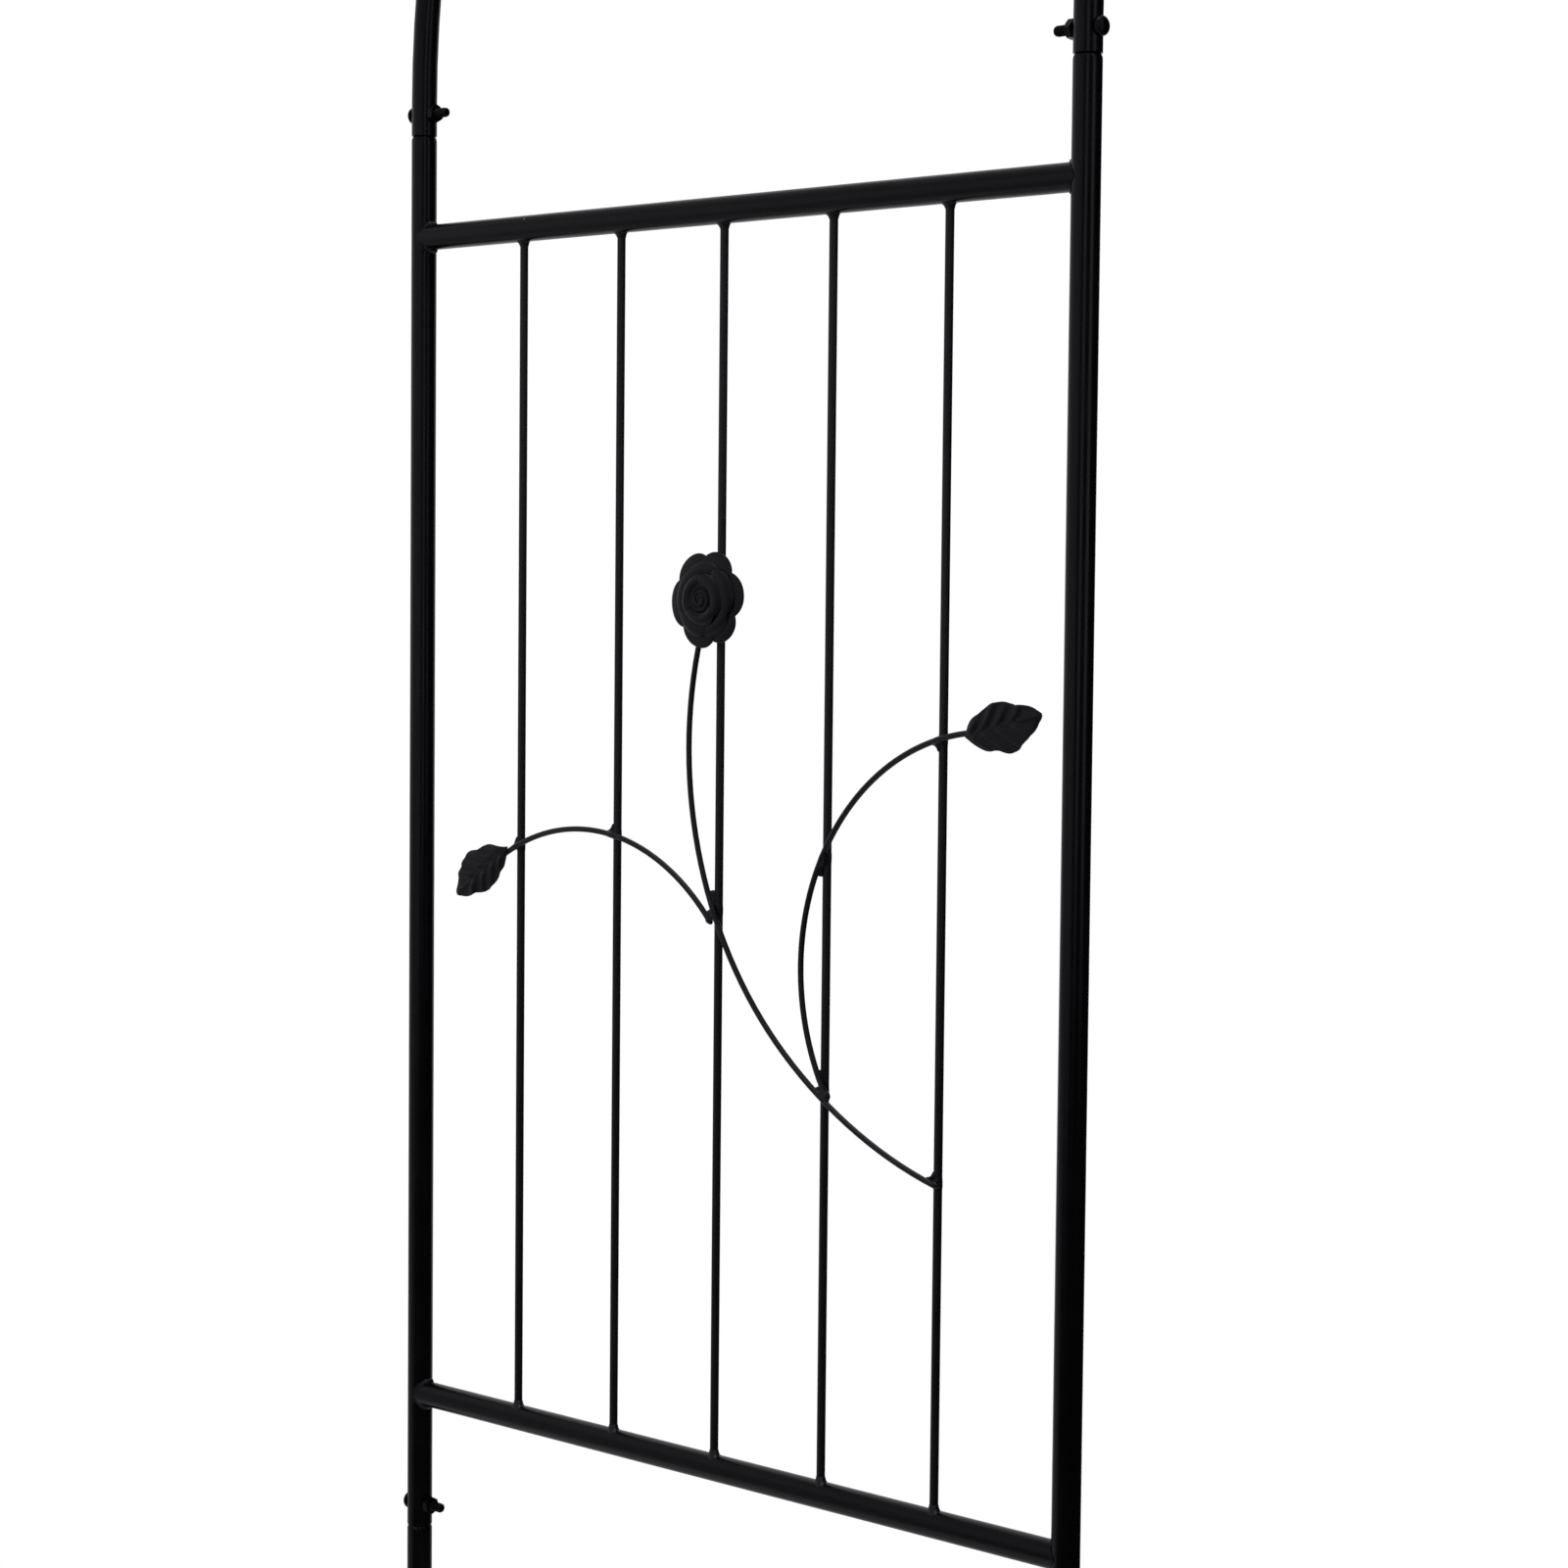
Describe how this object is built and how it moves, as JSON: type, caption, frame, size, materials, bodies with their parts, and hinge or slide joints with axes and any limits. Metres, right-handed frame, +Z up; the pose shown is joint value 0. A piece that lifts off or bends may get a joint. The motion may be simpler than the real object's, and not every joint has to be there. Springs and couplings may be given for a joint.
{
  "type": "metal trellis arch",
  "caption": "Round-topped garden arch of black coated steel tube, with barred side panels that carry a rose vine, for climbing plants.",
  "frame": {"origin": "on the ground, midway between the four legs", "axes": "+X across the passage from the left side panel to the right one, +Y through the passage from front to back, +Z up"},
  "size_m": [1.5352, 0.5546, 2.31],
  "materials": {
    "coated_tubes": "satin black powder coat on steel tube",
    "coated_rods": "satin black powder coat on steel rod",
    "coated_stampings": "matt black powder coat on stamped sheet steel",
    "blackened_fasteners": "black zinc on steel screws and nuts"
  },
  "bodies": {
    "root": {"arch_foot_nuts": "blackened_fasteners", "arch_foot_screws": "blackened_fasteners", "crown_nuts": "blackened_fasteners", "crown_screws": "blackened_fasteners", "left_back_arch_tube": "coated_tubes", "left_back_branch": "coated_rods", "left_back_leaf": "coated_stampings", "left_back_leg": "coated_tubes", "left_back_post": "coated_tubes", "left_bar_1": "coated_rods", "left_bar_2": "coated_rods", "left_bar_3": "coated_rods", "left_bar_4": "coated_rods", "left_bar_5": "coated_rods", "left_bottom_rail": "coated_tubes", "left_front_arch_tube": "coated_tubes", "left_front_branch": "coated_rods", "left_front_leaf": "coated_stampings", "left_front_leg": "coated_tubes", "left_front_post": "coated_tubes", "left_rose": "coated_stampings", "left_rung_1": "coated_tubes", "left_rung_2": "coated_tubes", "left_rung_3": "coated_tubes", "left_top_rail": "coated_tubes", "left_vine_stem": "coated_rods", "leg_nuts": "blackened_fasteners", "leg_screws": "blackened_fasteners", "right_back_arch_tube": "coated_tubes", "right_back_branch": "coated_rods", "right_back_leaf": "coated_stampings", "right_back_leg": "coated_tubes", "right_back_post": "coated_tubes", "right_bar_1": "coated_rods", "right_bar_2": "coated_rods", "right_bar_3": "coated_rods", "right_bar_4": "coated_rods", "right_bar_5": "coated_rods", "right_bottom_rail": "coated_tubes", "right_front_arch_tube": "coated_tubes", "right_front_branch": "coated_rods", "right_front_leaf": "coated_stampings", "right_front_leg": "coated_tubes", "right_front_post": "coated_tubes", "right_rose": "coated_stampings", "right_rung_1": "coated_tubes", "right_rung_2": "coated_tubes", "right_rung_3": "coated_tubes", "right_top_rail": "coated_tubes", "right_vine_stem": "coated_rods"}
  },
  "joints": []
}
